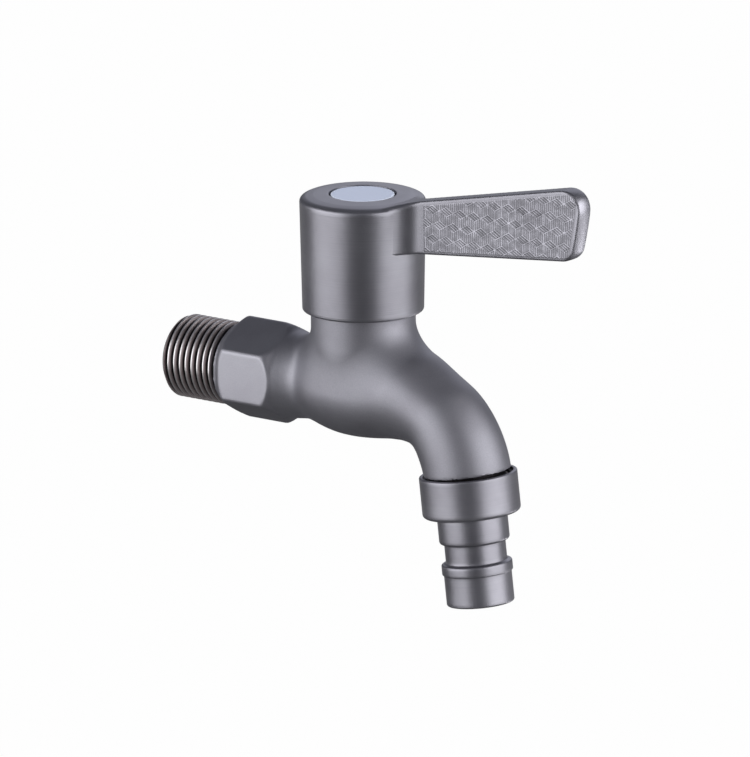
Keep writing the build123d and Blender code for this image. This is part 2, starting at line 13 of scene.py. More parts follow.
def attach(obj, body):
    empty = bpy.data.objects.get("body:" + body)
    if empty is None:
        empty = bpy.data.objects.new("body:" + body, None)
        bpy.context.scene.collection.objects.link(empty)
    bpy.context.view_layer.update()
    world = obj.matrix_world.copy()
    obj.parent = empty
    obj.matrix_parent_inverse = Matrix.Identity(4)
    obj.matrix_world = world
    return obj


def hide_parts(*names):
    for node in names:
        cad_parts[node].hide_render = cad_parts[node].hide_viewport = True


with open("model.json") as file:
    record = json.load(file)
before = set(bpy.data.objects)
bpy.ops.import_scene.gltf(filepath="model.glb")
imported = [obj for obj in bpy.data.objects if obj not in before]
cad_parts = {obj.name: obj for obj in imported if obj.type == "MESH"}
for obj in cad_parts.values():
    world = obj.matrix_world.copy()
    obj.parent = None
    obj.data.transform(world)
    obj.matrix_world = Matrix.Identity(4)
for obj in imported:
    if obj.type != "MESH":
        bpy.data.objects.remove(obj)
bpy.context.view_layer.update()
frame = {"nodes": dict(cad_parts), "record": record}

# Body casting. One brass casting, blasted and plated gunmetal: a hexagon bevelled towards its
# thread, a waist, a valve chamber with its neck, and a round spout that bends down in two arcs.
# The water way is bored: inlet, duct under the seat, seat, chamber, mouth of the neck and spout.
pipe_radius = 20.955 / 2
inlet_length = 16.4
valve_x = 39.5
hex_across, hex_end, hex_edge = 22.7, 22.0, 0.5
bevel_start, bevel_end = 0.9, 2.5
waist_middle, waist_spread, waist_narrowing = 23.2, 3.6, 0.13
neck_radius, neck_top, neck_round_z, neck_blend = 13.0475, 24.0, 0.5, 5.1
neck_least_blend, neck_slim_top, neck_slimming = 1.5, 12.5, 0.9
inlet_face, spout_lip = 0.2, 0.85

bend_start = valve_x + 13.6
bend_radii = (18.2, 22.0)
bend_ends = (radians(57.0), radians(83.4))
first_centre = (bend_start, -bend_radii[0])
second_centre = (
    first_centre[0] + (bend_radii[0] - bend_radii[1]) * sin(bend_ends[0]),
    first_centre[1] + (bend_radii[0] - bend_radii[1]) * cos(bend_ends[0]),
)
second_s = bend_start + bend_radii[0] * bend_ends[0]
outlet_s = second_s + bend_radii[1] * (bend_ends[1] - bend_ends[0])
outlet = (
    second_centre[0] + bend_radii[1] * sin(bend_ends[1]),
    second_centre[1] + bend_radii[1] * cos(bend_ends[1]),
)
outlet_way = (cos(bend_ends[1]), -sin(bend_ends[1]))

# Radii along the centreline, and swells of its upper and lower side as (height, middle, reach).
tube_knots = (12.0, 15.3, 16.9, 18.1, 19.7, 21.7, 24.5, 27.3, 30.1, 32.9, 35.7, 38.5,
              45.0, 51.0, 57.0, 62.9, 69.0, 75.0, outlet_s)
tube_radii = (13.2, 13.15, 12.35, 11.4, 10.9, 10.62, 10.38, 10.74, 11.38, 11.92, 12.24, 12.31,
              12.0, 11.4, 10.75, 10.37, 10.48, 10.7, 10.85)
upper_swells = ((1.5, 53.7, 10.9), (-0.6, 60.0, 6.5))
lower_swells = ((0.6, 58.5, 9.5), (0.6, 73.0, 14.0))

inlet_bore, inlet_bore_end = 7.0, 26.0
duct_radius, duct_drop, duct_middle, duct_half = 4.0, 4.5, 30.5, 9.0
seat_radius, seat_middle, seat_half = 5.0, -2.0, 5.0
chamber_radius, chamber_floor, mouth_floor = 9.9, 2.0, 14.4
spout_bore, spout_bore_growth = 5.6, 1.6
spout_way_start, spout_way_fall, spout_way_rise = 47.1, 11.6, 3.0


def smooth_line(x, knots, values):
    """Cubic Hermite curve through (knots, values), each knot's slope taken from its neighbours."""
    knots, values = np.array(knots, float), np.array(values, float)
    slopes = np.gradient(values, knots)
    slopes[0] = slopes[-1] = 0
    i = np.clip(np.searchsorted(knots, x) - 1, 0, len(knots) - 2)
    width = knots[i + 1] - knots[i]
    t = np.clip((x - knots[i]) / width, 0, 1)
    return (
        values[i] * (1 + 2 * t) * (1 - t) ** 2
        + slopes[i] * width * t * (1 - t) ** 2
        + values[i + 1] * t * t * (3 - 2 * t)
        + slopes[i + 1] * width * t * t * (t - 1)
    )


def joined(a, b, radius):
    """Union of two distance fields with a fillet of this radius: the arc round their corner."""
    corner = np.hypot(np.maximum(radius - a, 0), np.maximum(radius - b, 0))
    return np.maximum(radius, np.minimum(a, b)) - corner


def trimmed(a, b, radius):
    """Common part of two distance fields, with its edge rounded to this radius."""
    corner = np.hypot(np.maximum(radius + a, 0), np.maximum(radius + b, 0))
    return np.minimum(-radius, np.maximum(a, b)) + corner


def swell(s, height, middle, reach):
    """A raised cosine of this height at one length along the centreline, 0 beyond its reach."""
    return height * (1 + np.cos(pi * np.minimum(1, np.abs(s - middle) / reach))) / 2


def along_tap(x, z):
    """Length s along the bent centreline, height n above it and the bend so far: straight, two
    arcs, then straight again."""
    first_x, first_z = x - first_centre[0], z - first_centre[1]
    second_x, second_z = x - second_centre[0], z - second_centre[1]
    first, second = np.arctan2(first_x, first_z), np.arctan2(second_x, second_z)
    past = (x - outlet[0]) * outlet_way[0] + (z - outlet[1]) * outlet_way[1]
    beside = (z - outlet[1]) * outlet_way[0] - (x - outlet[0]) * outlet_way[1]
    where = (x <= bend_start, first < bend_ends[0], past < 0)
    late_s = second_s + bend_radii[1] * (second - bend_ends[0])
    s = np.select(where, (x, bend_start + bend_radii[0] * first, late_s), outlet_s + past)
    early_n = np.hypot(first_x, first_z) - bend_radii[0]
    late_n = np.hypot(second_x, second_z) - bend_radii[1]
    n = np.select(where, (z, early_n, late_n), beside)
    bend = np.select(where, (0 * x, first, second), bend_ends[1])
    return s, n, bend


def casting_field(x, y, z):
    """Distance to the casting. Its tube is an ellipse round the centreline, cut by the bevelled
    hexagon at the inlet. Its neck is an upright cylinder that ends in a ball below. The fillet
    between them is smallest where both surfaces face the same way. Then come the bores. The
    factors below 1 turn a rise into the distance across its slope."""
    s, n, bend = along_tap(x, z)
    radius = smooth_line(s, tube_knots, tube_radii)
    upper = sum(swell(s, *facts) for facts in upper_swells)
    lower = sum(swell(s, *facts) for facts in lower_swells)
    half, centre = radius + (upper + lower) / 2, (upper - lower) / 2
    narrow = 1 - waist_narrowing * np.exp(-(((x - waist_middle) / waist_spread) ** 2))
    tube = (np.sqrt((y / radius / narrow) ** 2 + ((n - centre) / half) ** 2) - 1) * radius

    side = hex_across / 2
    slants = [np.abs(y / 2 + z * tilt / 2) - side for tilt in (3**0.5, -(3**0.5))]
    hexagon = trimmed(trimmed(*slants, hex_edge), np.abs(y) - side, hex_edge)
    run = np.maximum(x - bevel_start, 0)
    cone = (np.hypot(y, z) - pipe_radius - run) * 0.71
    slope = (side - pipe_radius) / (bevel_end - bevel_start)
    bevel = (hexagon + side - pipe_radius - run * slope) * 0.92
    nut_end = trimmed(trimmed(hexagon, bevel, 0.2), cone, 0.6)
    tube = np.where(x < hex_end, trimmed(tube, nut_end, 0.35), tube)
    tube = trimmed(tube, s - outlet_s + spout_lip, 0.25)

    stem = np.hypot(x - valve_x, y)
    low = np.minimum(z - neck_round_z, 0)
    reach = np.hypot(stem, low)
    alike = (x - valve_x) * n * np.sin(bend) + y * y + low * n * np.cos(bend)
    alike = alike / (reach * np.hypot(y, n) + 0.001)
    neck = reach - neck_radius + neck_slimming * smooth_line(neck_slim_top - z, (0, 12), (0, 1))
    body = joined(tube, neck, neck_blend * (1 - alike**2) + neck_least_blend)
    body = trimmed(body, z - neck_top, 0.3)

    fall = np.clip((s - spout_way_start) / spout_way_fall, 0, 1)
    spout_rise = spout_way_rise * (1 + np.cos(pi * fall)) / 2
    bore = spout_bore + spout_bore_growth * np.clip((s - valve_x) / (outlet_s - valve_x), 0, 1)
    hollows = (
        np.maximum(np.hypot(y, z) - inlet_bore, x - inlet_bore_end),
        np.maximum(np.hypot(y, z + duct_drop) - duct_radius, np.abs(x - duct_middle) - duct_half),
        np.maximum(stem - seat_radius, np.abs(z - seat_middle) - seat_half),
        np.maximum(stem - chamber_radius, chamber_floor - z),
        np.maximum(stem - pipe_radius, mouth_floor - z),
        np.maximum(np.hypot(y, n - spout_rise) - bore, spout_way_start - s),
    )
    for hollow in hollows:
        body = np.maximum(body, -hollow)
    return np.maximum(body, inlet_face - x)


def skin(field, low, high, step):
    """Points and quads where a field is zero: one point in each lattice cell that the surface
    crosses, first at the mean of the crossings on the cell's edges, then drawn onto the field
    along its slope."""
    lattice = [np.arange(a, b + step, step) for a, b in zip(low, high)]
    values = field(*np.meshgrid(*lattice, indexing="ij"))
    within = values < 0
    cells = tuple(n - 1 for n in values.shape)
    total, count = np.zeros(cells + (3,)), np.zeros(cells)
    for axis in range(3):
        for offset in product((0, 1), repeat=2):
            corner = list(offset)
            corner.insert(axis, 0)
            far = list(corner)
            far[axis] = 1
            near_part = tuple(slice(c, c + n) for c, n in zip(corner, cells))
            far_part = tuple(slice(c, c + n) for c, n in zip(far, cells))
            a, b = values[near_part], values[far_part]
            crosses = (a < 0) != (b < 0)
            share = np.where(crosses, a / np.where(crosses, a - b, 1), 0)
            for k in range(3):
                total[..., k] += np.where(crosses, share if k == axis else corner[k], 0)
            count += crosses
    used = count > 0
    number = np.full(cells, -1)
    number[used] = np.arange(used.sum())
    cell = np.stack(np.nonzero(used), axis=1)
    points = np.array(low) + step * (cell + total[used] / count[used][:, None])

    quads = []
    for axis in range(3):
        a, b = [k for k in range(3) if k != axis]
        inner = [slice(None)] * 3
        inner[axis] = slice(0, cells[axis])
        inner[a], inner[b] = slice(1, cells[a]), slice(1, cells[b])
        start = within[tuple(inner)]
        inner[axis] = slice(1, cells[axis] + 1)
        end = within[tuple(inner)]
        around = []
        for da, db in ((0, 0), (1, 0), (1, 1), (0, 1)):
            part = [slice(None)] * 3
            part[a], part[b] = slice(da, cells[a] - 1 + da), slice(db, cells[b] - 1 + db)
            around.append(number[tuple(part)])
        ring = np.stack(around, axis=-1)
        leaving, entering = start & ~end, ~start & end
        if axis == 1:
            leaving, entering = entering, leaving
        quads += [ring[leaving], ring[entering][:, ::-1]]

    draws, probe, least_slope = 4, 0.02, 0.2
    for _ in range(draws):
        value = field(*points.T)
        slope = np.empty_like(points)
        for k in range(3):
            nudge = np.zeros(3)
            nudge[k] = probe
            change = field(*(points + nudge).T) - field(*(points - nudge).T)
            slope[:, k] = change / (2 * probe)
        length = np.maximum((slope**2).sum(axis=1), least_slope)
        move = -slope * (value / length)[:, None]
        points += np.clip(move, -step / 3, step / 3)
    return points, np.concatenate(quads)


def piece(name, points, quads, body, *nodes, sharp=40):
    """An object from points in millimetres and quads, turned to face outward and smooth shaded.
    It rides on a body and takes the place of these CAD nodes."""
    a, b, c, d = [points[quads[:, k]] for k in range(4)]
    if (np.cross(b - a, c - a) * a + np.cross(c - a, d - a) * a).sum() < 0:
        quads = quads[:, ::-1]
    mesh = bpy.data.meshes.new(name)
    mesh.vertices.add(len(points))
    mesh.vertices.foreach_set("co", (points / 1000).ravel())
    mesh.loops.add(quads.size)
    mesh.loops.foreach_set("vertex_index", quads.ravel())
    mesh.polygons.add(len(quads))
    mesh.polygons.foreach_set("loop_start", np.arange(0, quads.size, 4))
    mesh.update(calc_edges=True)
    mesh.validate()
    mesh.shade_smooth()
    mesh.set_sharp_from_angle(angle=radians(sharp))
    made = bpy.data.objects.new(name, mesh)
    bpy.context.scene.collection.objects.link(made)
    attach(made, body)
    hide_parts(*nodes)
    return made


class Value:
    """A number on a node's socket; arithmetic on it adds Math nodes."""

    def __init__(self, nodes, socket):
        self.nodes, self.socket = nodes, socket

    def maths(self, operation, *others):
        sockets = dict(enumerate((self,) + others))
        return self.nodes.node("ShaderNodeMath", {"operation": operation}, sockets)

    def __add__(self, other):
        return self.maths("ADD", other)

    def __sub__(self, other):
        return self.maths("SUBTRACT", other)

    def __rsub__(self, other):
        return (self * -1) + other

    def __mul__(self, other):
        return self.maths("MULTIPLY", other)

    def __truediv__(self, other):
        return self.maths("DIVIDE", other)

    def __abs__(self):
        return self.maths("ABSOLUTE")

    __radd__, __rmul__ = __add__, __mul__

    def most(self, other):
        return self.maths("MAXIMUM", other)

    def least(self, other):
        return self.maths("MINIMUM", other)

    def across(self, other):
        """The hypotenuse over this value and the other."""
        return (self * self + other * other).maths("SQRT")

    def rise(self, low, high):
        """0 below low, 1 above high, and smooth between them."""
        settings = {"interpolation_type": "SMOOTHSTEP"}
        return self.nodes.node("ShaderNodeMapRange", settings, {0: self, 1: low, 2: high})


class Nodes:
    """A node tree, to which nodes are added one by one."""

    def __init__(self, tree):
        self.tree = tree

    def node(self, kind, settings=None, sockets=None, out=0):
        """A node of this kind, its settings made first and then its sockets, as the value of one
        output."""
        made = self.tree.nodes.new(kind)
        for key, value in (settings or {}).items():
            setattr(made, key, value)
        for key, value in (sockets or {}).items():
            self.feed(made.inputs[key], value)
        return Value(self, made.outputs[out])

    def feed(self, socket, value):
        """Links a value to a socket, or sets a plain number or colour there."""
        if isinstance(value, Value):
            self.tree.links.new(value.socket, socket)
        else:
            socket.default_value = value

    def blend(self, share, first, second):
        """The colour first where share is 0 and second where it is 1."""
        sockets = {0: share, 6: first, 7: second}
        return self.node("ShaderNodeMix", {"data_type": "RGBA"}, sockets, out=2)


class Finish(Nodes):
    """A material with a principled shader at its end."""

    def __init__(self, name):
        self.material = bpy.data.materials.new(name)
        self.material.use_nodes = True
        super().__init__(self.material.node_tree)
        self.shader = self.tree.nodes["Principled BSDF"]

    def place(self):
        """The object's own X, Y and Z in millimetres."""
        metres = self.node("ShaderNodeTexCoord", out="Object")
        split = self.node("ShaderNodeSeparateXYZ", sockets={0: metres}).socket.node
        return [Value(self, output) * 1000 for output in split.outputs]

    def noise(self, spot, cells, detail=2):
        """Noise from 0 to 1, with this many cells to the millimetre along each coordinate."""
        cells = cells if isinstance(cells, tuple) else (cells,) * 3
        scaled = {k: value * count for k, (value, count) in enumerate(zip(spot, cells))}
        where = self.node("ShaderNodeCombineXYZ", sockets=scaled)
        sockets = {0: where, "Scale": 1, "Detail": detail}
        return self.node("ShaderNodeTexNoise", {"noise_dimensions": "3D"}, sockets)

    def clouded(self, spot, cells, dark, light, low=0.3, high=0.7):
        """Soft broad patches of two close colours: their noise and their colour."""
        cloud = self.noise(spot, cells, detail=3)
        return cloud, self.blend(cloud.rise(low, high), dark, light)

    def dimmed(self, colour, share):
        """The colour times this number."""
        sockets = {0: colour, "Scale": share}
        return self.node("ShaderNodeVectorMath", {"operation": "SCALE"}, sockets)

    def bump(self, height, strength, depth):
        """A normal from this height, which stands for a depth in millimetres."""
        sockets = {"Height": height, "Strength": strength, "Distance": depth / 1000}
        self.put(Normal=self.node("ShaderNodeBump", sockets=sockets))

    def put(self, **sockets):
        """Values or links for the shader's sockets, with _ for a space."""
        for key, value in sockets.items():
            self.feed(self.shader.inputs[key.replace("_", " ")], value)


def dress(made, finish):
    """Gives the object this finish."""
    made.data.materials.clear()
    made.data.materials.append(finish.material)


gunmetal = (0.30, 0.297, 0.33, 1)
gunmetal_dark = (0.255, 0.25, 0.28, 1)
blasted = Finish("blasted_gunmetal")
x, y, z = spot = blasted.place()
cloud, shade = blasted.clouded(spot, 0.06, gunmetal_dark, gunmetal)
grain = blasted.noise(spot, 3.6)
pits = blasted.noise(spot, 1.3, detail=3)
slants = [abs(y * 0.5 + z * tilt) for tilt in (0.866, -0.866)]
from_axis = abs(y).most(slants[0]).most(slants[1])
on_flat = from_axis.rise(hex_across / 2 - 0.06, hex_across / 2 - 0.01) * (1 - x.rise(17.5, 18.0))
blasted.put(
    Base_Color=blasted.dimmed(shade, 1.14 - grain * 0.20 + on_flat * 0.04),
    Roughness=0.46 + cloud * 0.06 + grain * 0.1 - on_flat * 0.12,
    Metallic=1.0,
)
blasted.bump(grain * 0.6 + pits * 0.4, strength=0.35, depth=0.04)

casting_skin = skin(casting_field, low=(-0.4, -14.4, -19.5), high=(86.0, 14.4, 25.0), step=0.45)
casting = piece("tap_casting", *casting_skin, "tap", "tap_body")
dress(casting, blasted)

# Pipe threads. Half-inch threads cut on both ends of the casting: fourteen rounded 55 degree
# ridges to the inch behind a lead-in chamfer, brown-grey between their polished crests, which
# also carry a painted highlight, with painted shade at the root.
pitch = 1.814
thread_depth = 0.64 * pitch
crest_radius = pipe_radius - 0.03
thread_chamfer, ridge_run_in = 1.25, 0.5
turn_steps, steps_per_mm = 160, 18
outlet_thread_length = 5.3


def wrapped(grid):
    """Points and quads of a grid that closes along both of its indices."""
    rows, columns = grid.shape[:2]
    number = np.arange(rows * columns).reshape(rows, columns)
    down = np.roll(number, -1, axis=0)
    corners = [number, np.roll(number, -1, axis=1), np.roll(down, -1, axis=1), down]
    return grid.reshape(-1, 3), np.stack(corners, axis=-1).reshape(-1, 4)


def thread(origin, way, start, groove_end, length, bore, phase):
    """Closed sleeve (u, angle) round an axis: u runs along the ridges, over the end face and back
    through the bore. The ridges' depth is a rounded triangle wave of u / pitch + angle / turn, and
    they rise from a plain groove at the root."""
    angle = np.linspace(0, 2 * pi, turn_steps, endpoint=False)[None, :]
    along = np.linspace(start, length, int((length - start) * steps_per_mm))[:, None]
    wave = np.abs(2 * ((along / pitch + angle / (2 * pi) + phase) % 1) - 1)
    share = np.clip(wave * 1.5 - 0.25, 0, 1)
    share = 0.6 * share + 0.4 * share**2 * (3 - 2 * share)
    share = share + (1 - share) * np.clip((groove_end - along) / ridge_run_in, 0, 1)
    radius = crest_radius - thread_depth * share
    radius = np.minimum(radius, pipe_radius - thread_chamfer + (length - along))
    end = [(length, bore + r) for r in (2.0, 1.4, 0.9, 0.4)] + [(length - 0.1, bore + 0.15)]
    end += [(v, bore) for v in np.linspace(length - 0.35, start, 18)]
    inner = np.array(end)[:, :, None] + 0 * angle[None]
    s = np.concatenate([along + 0 * angle, inner[:, 0]])[..., None]
    r = np.concatenate([radius, inner[:, 1]])[..., None]
    across, way = np.array((0, 1, 0)), np.array(way)
    ring = np.cos(angle)[..., None] * across + np.sin(angle)[..., None] * np.cross(across, way)
    return wrapped(np.array(origin) + s * way + r * ring)


cut_metal = Finish("cut_thread_metal")
x, y, z = spot = cut_metal.place()
beside = (x - outlet[0]) * outlet_way[1] - (z - outlet[1]) * outlet_way[0]
at_outlet = x.rise(40, 45)
from_axis = y.across(z) * (1 - at_outlet) + y.across(beside) * at_outlet
stain = cut_metal.noise(spot, 0.5, detail=3)
# Painted highlight: the crests, which are also smoother, are lighter. Painted shade: the roots,
# about 9.2 to 10 mm off the axis, are near-black.
crest_polish_and_painted_highlight = (from_axis + stain * 0.1).rise(10.36, 10.47)
root = (from_axis + stain * 0.2).rise(9.6, 10.2) + (1 - from_axis.rise(9.1, 9.2))
flank_with_painted_root_shade = cut_metal.blend(root, (0.032, 0.029, 0.032, 1), (0.42, 0.37, 0.372, 1))
turning = cut_metal.noise(spot, (9.0, 0.3, 0.3))
cut_metal.put(
    Base_Color=cut_metal.blend(crest_polish_and_painted_highlight, flank_with_painted_root_shade, (0.62, 0.60, 0.61, 1)),
    Roughness=0.42 - crest_polish_and_painted_highlight * 0.14 + stain * 0.08,
    Metallic=1.0,
)
cut_metal.bump(turning, strength=0.15, depth=0.02)

outlet_origin = (outlet[0], 0, outlet[1])
down = (outlet_way[0], 0, outlet_way[1])
inlet_ridges = thread((0, 0, 0), (-1, 0, 0), start=-0.3, groove_end=0.5, length=inlet_length,
                      bore=inlet_bore, phase=0.386)
outlet_ridges = thread(outlet_origin, down, start=-1.6, groove_end=0.4,
                       length=outlet_thread_length, bore=7.15, phase=0)
for name, ridges in (("inlet_thread", inlet_ridges), ("outlet_thread", outlet_ridges)):
    dress(piece(name, *ridges, "tap", "tap_body", sharp=60), cut_metal)

# Handle. One zinc die casting, plated like the body: a slightly tapered hub that is brushed
# round, and a lever, five millimetres thick, with a raised pattern of cubes on both faces.
hub_bottom, hub_rim = 20.1, 48.9
hub_bottom_radius, hub_top_radius = 15.1475, 15.7475
recess_radius, recess_floor = 8.45, 48.5
cap_hole, screw_floor, screw_hole = 7.98, 46.0, 3.9
lever_reach, lever_lean, lever_half = 69.5, tan(radians(9.5)), 2.5
lever_top, lever_top_slope = 50.0, tan(radians(11.8))
lever_bottom, lever_bottom_slope = 36.9, tan(radians(5.95))
lever_root_blend = 4.5
tip_crown, tip_half_height, end_crown = 0.5, 9.2, 0.07


def rounded(corners, arc_steps=5, step=0.6):
    """A closed outline through (r, s, corner radius): an arc at each corner, short straight runs
    between them."""
    corners = np.array(corners, float)
    before, after = np.roll(corners, 1, axis=0)[:, :2], np.roll(corners, -1, axis=0)[:, :2]
    arcs = []
    for (r, s, radius), back, on in zip(corners, before, after):
        corner = np.array((r, s))
        a, b = back - corner, on - corner
        a, b = a / np.hypot(*a), b / np.hypot(*b)
        half = np.arccos(np.clip(a @ b, -1, 1)) / 2
        reach = radius / np.tan(half)
        share = np.linspace(0, 1, arc_steps)[:, None]
        first, last = corner + a * reach, corner + b * reach
        middle = corner + (a + b) / np.hypot(*(a + b)) * radius / np.sin(half)
        swing = pi - 2 * half
        u, v = (first - middle) / np.sin(swing), (last - middle) / np.sin(swing)
        arcs.append(middle + u * np.sin((1 - share) * swing) + v * np.sin(share * swing))
    points = []
    for arc, following in zip(arcs, arcs[1:] + arcs[:1]):
        points.append(arc)
        gap = following[0] - arc[-1]
        count = int(np.hypot(*gap) / step)
        if count > 1:
            share = (np.arange(1, count) / count)[:, None]
            points.append(arc[-1] + gap * share)
    return np.concatenate(points)


def turned(outline, origin, way, steps=144):
    """Surface of revolution: each (r, s) of the outline, s along the way and r round it."""
    way = Vector(way).normalized()
    across = Vector((0, 1, 0))
    beside = way.cross(across)
    angle = np.linspace(0, 2 * pi, steps, endpoint=False)[None, :, None]
    r, s = outline[:, 0, None, None], outline[:, 1, None, None]
    ring = np.cos(angle) * np.array(across) + np.sin(angle) * np.array(beside)
    return wrapped(np.array(origin) + s * np.array(way) + r * ring)


# The hub as (radius, height, corner radius): up its outside, over the rim, down through the disc's
# recess and the screw's hole, round the boss that holds the toothed bush, and the cavity's wall.
hub_outline = rounded([
    (hub_bottom_radius, hub_bottom, 0.5),
    (hub_top_radius, hub_rim - 0.45, 1.2), (14.3, hub_rim + 0.15, 2.5),
    (12.3, hub_rim + 0.5, 4.0), (recess_radius, hub_rim + 0.73, 0.15),
    (recess_radius, recess_floor, 0.05), (cap_hole, recess_floor, 0.05),
    (cap_hole, screw_floor, 0.1), (screw_hole, screw_floor, 0.1), (screw_hole, 44.3, 0.1),
    (2.2, 44.3, 0.05), (2.2, 42.3, 0.05), (6.6, 42.3, 0.05), (6.6, 35.3, 0.1), (8.3, 35.3, 0.1),
    (8.3, 42.3, 0.2), (13.5975, 42.3, 0.5), (13.5975, hub_bottom, 0.3),
])
hub = piece("handle_hub", *turned(hub_outline, (valve_x, 0, 0), (0, 0, 1)), "lever", "handle")


def lever_field(x, y, z):
    """Distance to the lever: its side view in x and z, cut from a plan that flares into the hub,
    with the edges rounded. Its end is crowned both ways. Round the hub's own wall it stays just
    under the surface, and it leaves the hub's cavity free. The factors below 1 turn a rise into
    the distance across its slope."""
    x = x - valve_x
    around = np.hypot(x, y)
    wall = around + 0.03 - hub_bottom_radius - (z - hub_bottom) / (hub_rim - hub_bottom) * 0.6
    top = (z - lever_top - (x - hub_top_radius) * lever_top_slope) * 0.979
    bottom = (lever_bottom + (x - hub_top_radius) * lever_bottom_slope - z) * 0.995
    tip_top = lever_top + (lever_reach - hub_top_radius) * lever_top_slope
    tip = (x - lever_reach - 0.2 + end_crown * y**2 + (tip_top - z) * lever_lean) * 0.98
    from_middle = (tip_top - tip_half_height - z) / tip_half_height
    tip = tip - tip_crown * np.clip(1 - from_middle**2, 0, 1)
    outline = trimmed(trimmed(top, tip, 6.8), bottom, 2.6)
    plan = joined(np.abs(y) - lever_half, wall, lever_root_blend)
    at_rim = np.clip((20 - x) / 7, 0, 1) * np.clip((z - 42) / 4, 0, 1)
    lever = trimmed(outline, plan, 0.5 + 1.7 * at_rim)
    cavity = np.minimum(13.9 - around, 42.6 - z)
    return np.maximum(lever, np.maximum(10.0 - x, cavity))


lever_skin = skin(lever_field, low=(48.9, -12.4, 35.6), high=(111.0, 12.4, 62.4), step=0.36)
lever = piece("handle_lever", *lever_skin, "lever", "handle")

brushed = Finish("brushed_gunmetal")
x, y, z = brushed.place()
x = x - valve_x
spot = (x, y, z)
cloud, shade = brushed.clouded(spot, 0.06, gunmetal_dark, gunmetal)
grain = brushed.noise(spot, 5.2)
lines = brushed.noise(spot, (0.06, 0.06, 4.2), detail=4)
on_hub = 1 - x.rise(15.5, 17.5)

# The lever's pattern: hexagons side by side, each drawn as a cube, with hatching that is slanted
# on the cube's top and upright on its two sides.
cube_side, hatch_pitch, groove = 2.465, 0.61, 0.15
period = 3**0.5 * cube_side


def in_cell(value, length, shift):
    """Distance from the middle of the cell of this length that the value falls in."""
    return ((value / length + shift).maths("FRACT") - 0.5) * length


first = in_cell(x, period, 0.5), in_cell(z, 3 * cube_side, 0.5)
second = in_cell(x, period, 0), in_cell(z, 3 * cube_side, 0)
first_square, second_square = [a * a + b * b for a, b in (first, second)]
nearer = first_square.maths("LESS_THAN", second_square)
px, py = [b + (a - b) * nearer for a, b in zip(first, second)]
side = abs(px)
rising, falling = px * 0.5 + py * 0.866, px * 0.5 - py * 0.866
edge = period / 2 - side.most(abs(rising)).most(abs(falling))
line = edge.least(abs(side * 0.5 - py * 0.866)).least(side.most(py))
cut = 1 - line.rise(0.0, groove)
# Painted shadow: a darker band beside each cut line.
painted_shadow_beside_cut = line.rise(0.05, 0.15) * (1 - line.rise(0.2, 0.35))
on_top = (py - side * 0.577).maths("GREATER_THAN", 0)
hatched = rising * on_top + px * (1 - on_top)
hatch = (hatched * (2 * pi / hatch_pitch)).maths("SINE") * 0.5 + 0.5

above = z - (lever_bottom + (x - hub_top_radius) * lever_bottom_slope)
below = (lever_top + (x - hub_top_radius) * lever_top_slope) - z
along = x + (lever_top + 11.3 - z) * lever_lean
framed = x.rise(20.7, 20.9) * below.rise(1.0, 1.3) * above.rise(0.7, 1.0)
framed = framed * (1 - along.rise(68.2, 68.6)) * abs(y).rise(2.40, 2.47)
# Painted highlight: the lever's crowned end face is made lighter.
painted_end_highlight = (along - y * y * end_crown).rise(68.2, 68.9)
# Painted shade: the hub's wall round the index disc, below the disc's top, is near-black.
painted_recess_shade = (1 - x.across(y).rise(8.35, 8.45)) * (1 - z.rise(49.4, 49.6))

# The pattern's colour: lighter cut lines and hatching as painted highlights, varied in patches,
# painted shade on the cubes' tops, varied at random, and the patterned area darker overall.
spread = brushed.noise(spot, 0.17)
painted_glint_patches = brushed.noise(spot, 0.7, detail=3).rise(0.3, 0.7)
painted_cut_glint = cut * (0.5 + painted_glint_patches * 0.64)
painted_hatch_glint = hatch * (1 - cut) * (0.16 + painted_glint_patches * 0.56)
painted_top_shade = on_top * (0.03 + (spread - 0.5) * 0.6)
pattern_tone_and_painted_light = 0.36 + painted_shadow_beside_cut * 0.2 + painted_top_shade - painted_cut_glint - painted_hatch_glint
# The hub's extra tone leaves the lever darker than the hub: painted shade.
tone = 0.94 + on_hub * (0.13 - lines * 0.12) - framed * pattern_tone_and_painted_light
shade = brushed.dimmed(shade, tone * (1 + painted_end_highlight * 0.62))
brushed.put(
    Base_Color=brushed.blend(painted_recess_shade, shade, (0.012, 0.014, 0.025, 1)),
    Roughness=0.37 - on_hub * 0.05 + cloud * 0.05 + lines * 0.10,
    Metallic=1.0,
)
relief = framed * (0.5 + cut * 0.4 + hatch * 0.6 * (1 - cut))
brushed.bump(lines * on_hub * 0.6 + grain * 0.07 + relief, strength=0.6, depth=0.08)
dress(hub, brushed)
dress(lever, brushed)

# Index disc. A moulded cap in pale blue-grey plastic that presses into the hub over the screw,
# with a painted highlight round the edge of its face.
cap_top, cap_radius, cap_wall = 49.5, 7.95, 1.0
cap_under, cap_bottom, cap_middle = cap_top - 1.4, cap_top - 3.4, 0.0005
cap_outline = rounded([
    (0.4, cap_top, 0.02), (0.4, cap_under, 0.02),
    (cap_radius - cap_wall, cap_under, 0.2), (cap_radius - cap_wall, cap_bottom, 0.1),
    (cap_radius, cap_bottom, 0.2), (cap_radius, cap_top, 0.25),
])
# The face is drawn in to the middle, where a closed grid leaves a hole too small to be seen.
cap_outline[:, 0] = np.where(cap_outline[:, 0] < 0.45, cap_middle, cap_outline[:, 0])
disc = piece("index_disc", *turned(cap_outline, (valve_x, 0, 0), (0, 0, 1)), "lever", "index_cap")

pale = Finish("pale_blue_plastic")
x, y, z = spot = pale.place()
speckle = pale.noise(spot, 0.9, detail=3)
# Painted highlight: a paler ring round the edge of the disc's face.
rim = (x - valve_x).across(y).rise(7.65, 7.75)
face_colour = pale.blend(speckle, (0.40, 0.445, 0.565, 1), (0.43, 0.475, 0.60, 1))
pale.put(
    Base_Color=pale.blend(rim, face_colour, (0.66, 0.71, 0.83, 1)),
    Roughness=0.42 + speckle * 0.08,
    Specular_IOR_Level=0.35,
)
pale.bump(speckle, strength=0.05, depth=0.02)
dress(disc, pale)

